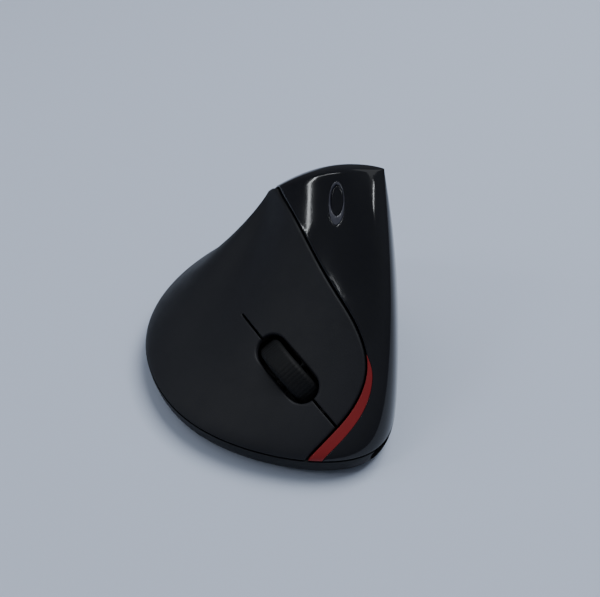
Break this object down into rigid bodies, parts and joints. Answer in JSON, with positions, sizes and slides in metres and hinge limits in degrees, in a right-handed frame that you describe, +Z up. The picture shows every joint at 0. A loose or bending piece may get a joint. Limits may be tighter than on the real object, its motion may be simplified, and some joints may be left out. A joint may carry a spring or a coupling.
{
  "type": "computer mouse",
  "caption": "Upright ergonomic computer mouse for the right hand, with two flexing keys, a scroll wheel in a slot, thumb buttons and a thin base shell.",
  "frame": {"origin": "middle of the bounding box on the desk, under the glide feet", "axes": "+Z up from the desk, +Y towards the nose, +X towards the finger side"},
  "size_m": [0.0842, 0.1068, 0.069],
  "materials": {
    "shell": "soft-touch matte black",
    "gloss": "high-gloss black",
    "thumb": "fine-textured black",
    "accent": "glossy dark red",
    "base": "spark-eroded black",
    "tyre": "ribbed rubber",
    "wheel_core": "moulded dark grey",
    "steel": "plain steel",
    "frame": "moulded dark grey",
    "switches": "moulded black",
    "plungers": "moulded off-white",
    "boards": "green solder mask",
    "chips": "epoxy black",
    "lens": "clear moulded",
    "light_ring": "translucent grey",
    "dpi_cap": "gloss black",
    "cell": "foil pouch",
    "leads": "insulated wire",
    "feet": "low-friction fluoropolymer",
    "plate": "blank satin plate"
  },
  "bodies": {
    "root": {"finger_panel": "shell", "top_cover": "gloss", "thumb_panel": "thumb", "accent_strip": "accent", "base_cover": "base", "charge_socket": "steel", "case_screws": "steel", "board_screws": "steel", "inner_frame": "frame", "index_switch": "switches", "middle_switch": "switches", "wheel_switch": "switches", "forward_switch": "switches", "back_switch": "switches", "dpi_switch": "switches", "power_switch": "switches", "battery_connector": "plungers", "key_board": "boards", "main_board": "boards", "side_board": "boards", "dpi_board": "boards", "sensor_chip": "chips", "controller_chip": "chips", "charge_tongue": "chips", "sensor_lens": "lens", "dpi_ring": "light_ring", "battery_cell": "cell", "battery_lead": "leads", "glide_feet": "feet", "rating_plate": "plate"},
    "index_key": {"index_key": "shell", "index_plunger": "plungers"},
    "middle_key": {"middle_key": "shell", "middle_plunger": "plungers"},
    "wheel_carriage": {"wheel_cradle": "frame", "wheel_encoder": "switches", "wheel_plunger": "plungers"},
    "scroll_wheel": {"wheel_tyre": "tyre", "wheel_hub": "wheel_core", "wheel_axle": "steel"},
    "dpi_button": {"dpi_button": "dpi_cap", "dpi_plunger": "plungers"},
    "forward_button": {"forward_button": "thumb", "forward_plunger": "plungers"},
    "back_button": {"back_button": "thumb", "back_plunger": "plungers"},
    "power_slider": {"power_slider": "plungers"}
  },
  "joints": [
    {"name": "index_press", "type": "hinge", "parent": "root", "child": "index_key", "pos_m": [0.0033, -0.00057, 0.028], "axis": [-0.8688, 0.0234, 0.4946], "range_deg": [0, 0.55], "stiffness_Nm_per_rad": 3, "springref_deg": -0.57},
    {"name": "middle_press", "type": "hinge", "parent": "root", "child": "middle_key", "pos_m": [0.01798, -0.00156, 0.01744], "axis": [-0.8688, 0.0234, 0.4946], "range_deg": [0, 0.55], "stiffness_Nm_per_rad": 3, "springref_deg": -0.57},
    {"name": "wheel_press", "type": "hinge", "parent": "root", "child": "wheel_carriage", "pos_m": [-0.00087, 0.02221, 0.0208], "axis": [-0.1192, 0.9596, -0.2548], "range_deg": [0, 1.5], "stiffness_Nm_per_rad": 0.6, "springref_deg": -1.15},
    {"name": "wheel_spin", "type": "hinge", "parent": "wheel_carriage", "child": "scroll_wheel", "pos_m": [0.00747, 0.02199, 0.01605], "axis": [-0.8688, 0.0234, 0.4946], "continuous": true},
    {"name": "dpi_press", "type": "slide", "parent": "root", "child": "dpi_button", "axis": [-0.8098, -0.2299, -0.5398], "range_m": [0, 0.0004], "stiffness_N_per_m": 600, "springref_m": -0.0002},
    {"name": "forward_press", "type": "slide", "parent": "root", "child": "forward_button", "axis": [0.8939, 0.3354, -0.2973], "range_m": [0, 0.0005], "stiffness_N_per_m": 600, "springref_m": -0.0002},
    {"name": "back_press", "type": "slide", "parent": "root", "child": "back_button", "axis": [0.8939, 0.3354, -0.2973], "range_m": [0, 0.0005], "stiffness_N_per_m": 600, "springref_m": -0.0002},
    {"name": "power_slide", "type": "slide", "parent": "root", "child": "power_slider", "axis": [1, 0, 0], "range_m": [0, 0.0022]}
  ]
}
